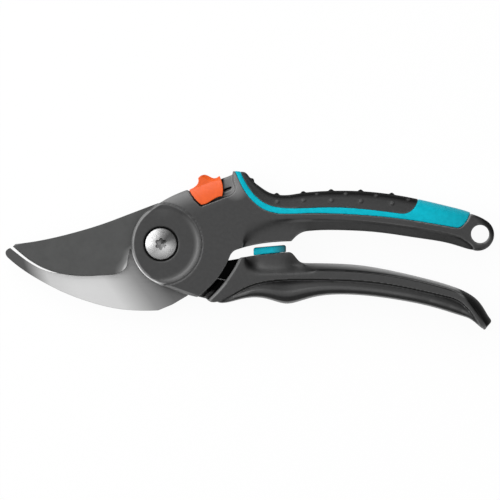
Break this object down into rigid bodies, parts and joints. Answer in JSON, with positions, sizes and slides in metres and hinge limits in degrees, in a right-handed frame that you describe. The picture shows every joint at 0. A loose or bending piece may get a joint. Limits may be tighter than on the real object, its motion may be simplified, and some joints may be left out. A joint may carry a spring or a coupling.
{
  "type": "pruning shears",
  "caption": "Bypass pruning shears with a hooked counter blade, a coated cutting blade, contoured handles with a soft palm pad, a thumb lock and a hanging ring.",
  "frame": {"origin": "the pivot axis at the plane the shears lie on, under the rear hub plate", "axes": "+X from the pivot towards the handles, -X towards the blade tips; +Y towards the upper handle with the thumb lock; +Z along the pivot axis towards the screw head"},
  "size_m": [0.215, 0.0703, 0.0202],
  "materials": {
    "handle_nylon": "fine moulded grain",
    "inlay_teal": "satin",
    "grip_rubber": "matte",
    "blade_steel": "fine ground",
    "blade_coating": "low-friction coating",
    "screw_steel": "turned",
    "plain_steel": "plain",
    "wear_plastic": "smooth",
    "lock_orange": "satin gloss"
  },
  "bodies": {
    "upper_half": {"upper_handle_body": "handle_nylon", "upper_grip_inlay": "inlay_teal", "upper_grip_pad": "grip_rubber", "counter_blade": "blade_steel", "counter_blade_pins": "plain_steel", "pivot_bolt": "screw_steel", "pivot_bush": "plain_steel", "head_washer": "plain_steel", "pivot_nut": "screw_steel", "nut_washer": "plain_steel", "front_wear_washer": "wear_plastic", "opening_spring": "plain_steel", "lock_detent_spring": "plain_steel"},
    "lower_half": {"lower_handle_body": "handle_nylon", "cutting_blade": "blade_coating", "cutting_blade_pins": "plain_steel", "closing_buffer": "inlay_teal", "rear_wear_washer": "wear_plastic"},
    "thumb_lock": {"lock_slider": "lock_orange", "lock_tongue": "plain_steel", "lock_pin": "plain_steel"}
  },
  "joints": [
    {"name": "handle_pivot", "type": "hinge", "parent": "upper_half", "child": "lower_half", "pos_m": [0, 0, 0.01], "axis": [0, 0, -1], "range_deg": [-1.2, 26], "deforming": ["opening_spring"]},
    {"name": "lock_slide", "type": "slide", "parent": "upper_half", "child": "thumb_lock", "axis": [0.9336, 0.3584, 0], "range_m": [0, 0.0045]}
  ]
}
